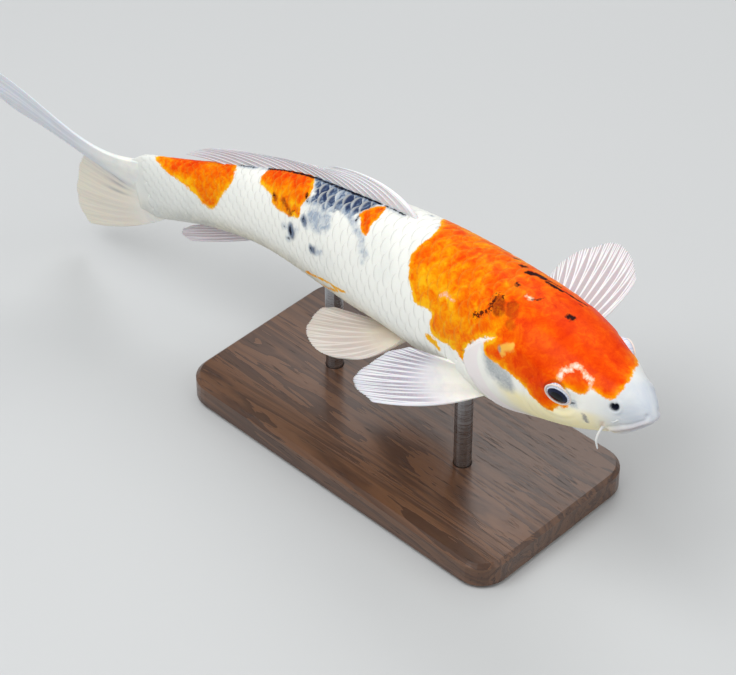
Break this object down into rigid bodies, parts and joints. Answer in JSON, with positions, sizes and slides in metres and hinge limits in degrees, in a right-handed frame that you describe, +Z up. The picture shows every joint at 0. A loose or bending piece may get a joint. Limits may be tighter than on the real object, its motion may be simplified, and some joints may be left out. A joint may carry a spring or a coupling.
{
  "type": "koi carp model",
  "caption": "Life-size koi carp in a turning swim, white with orange-red and blue-black markings, held on two short rods over a plain flat display base",
  "frame": {"origin": "middle of the underside of the display base, which stands on the floor", "axes": "+X points from tail to head along the chord of the curved body, +Y to the fish's left, +Z up"},
  "size_m": [0.3978, 0.124, 0.14],
  "materials": {
    "skin_head": "wet-looking bare skin, orange-red with a white snout",
    "skin_body": "wet-looking scaled skin, white with orange-red and blue-black patches",
    "lips": "smooth pale skin",
    "gill_covers": "smooth pearly skin over bone",
    "barbels": "smooth pale skin",
    "eyes": "glossy dark pupil in a pale iris",
    "fins": "thin rayed membrane, white with a lilac cast",
    "stand_wood": "dark stained hardwood, satin",
    "stand_steel": "brushed"
  },
  "bodies": {
    "root": {"head": "skin_head", "lip_upper": "lips", "lip_lower": "lips", "gill_cover_right": "gill_covers", "gill_cover_left": "gill_covers", "eye_right": "eyes", "eye_left": "eyes", "barbel_long_right": "barbels", "barbel_long_left": "barbels", "barbel_short_right": "barbels", "barbel_short_left": "barbels", "trunk_front": "skin_body", "trunk_rear": "skin_body", "tail_stalk": "skin_body", "dorsal_fin": "fins", "anal_fin": "fins", "caudal_fin_upper": "fins", "caudal_fin_lower": "fins", "pectoral_fin_right": "fins", "pectoral_fin_left": "fins", "pelvic_fin_right": "fins", "pelvic_fin_left": "fins", "stand_base": "stand_wood", "stand_rod_front": "stand_steel", "stand_rod_rear": "stand_steel"}
  },
  "joints": []
}
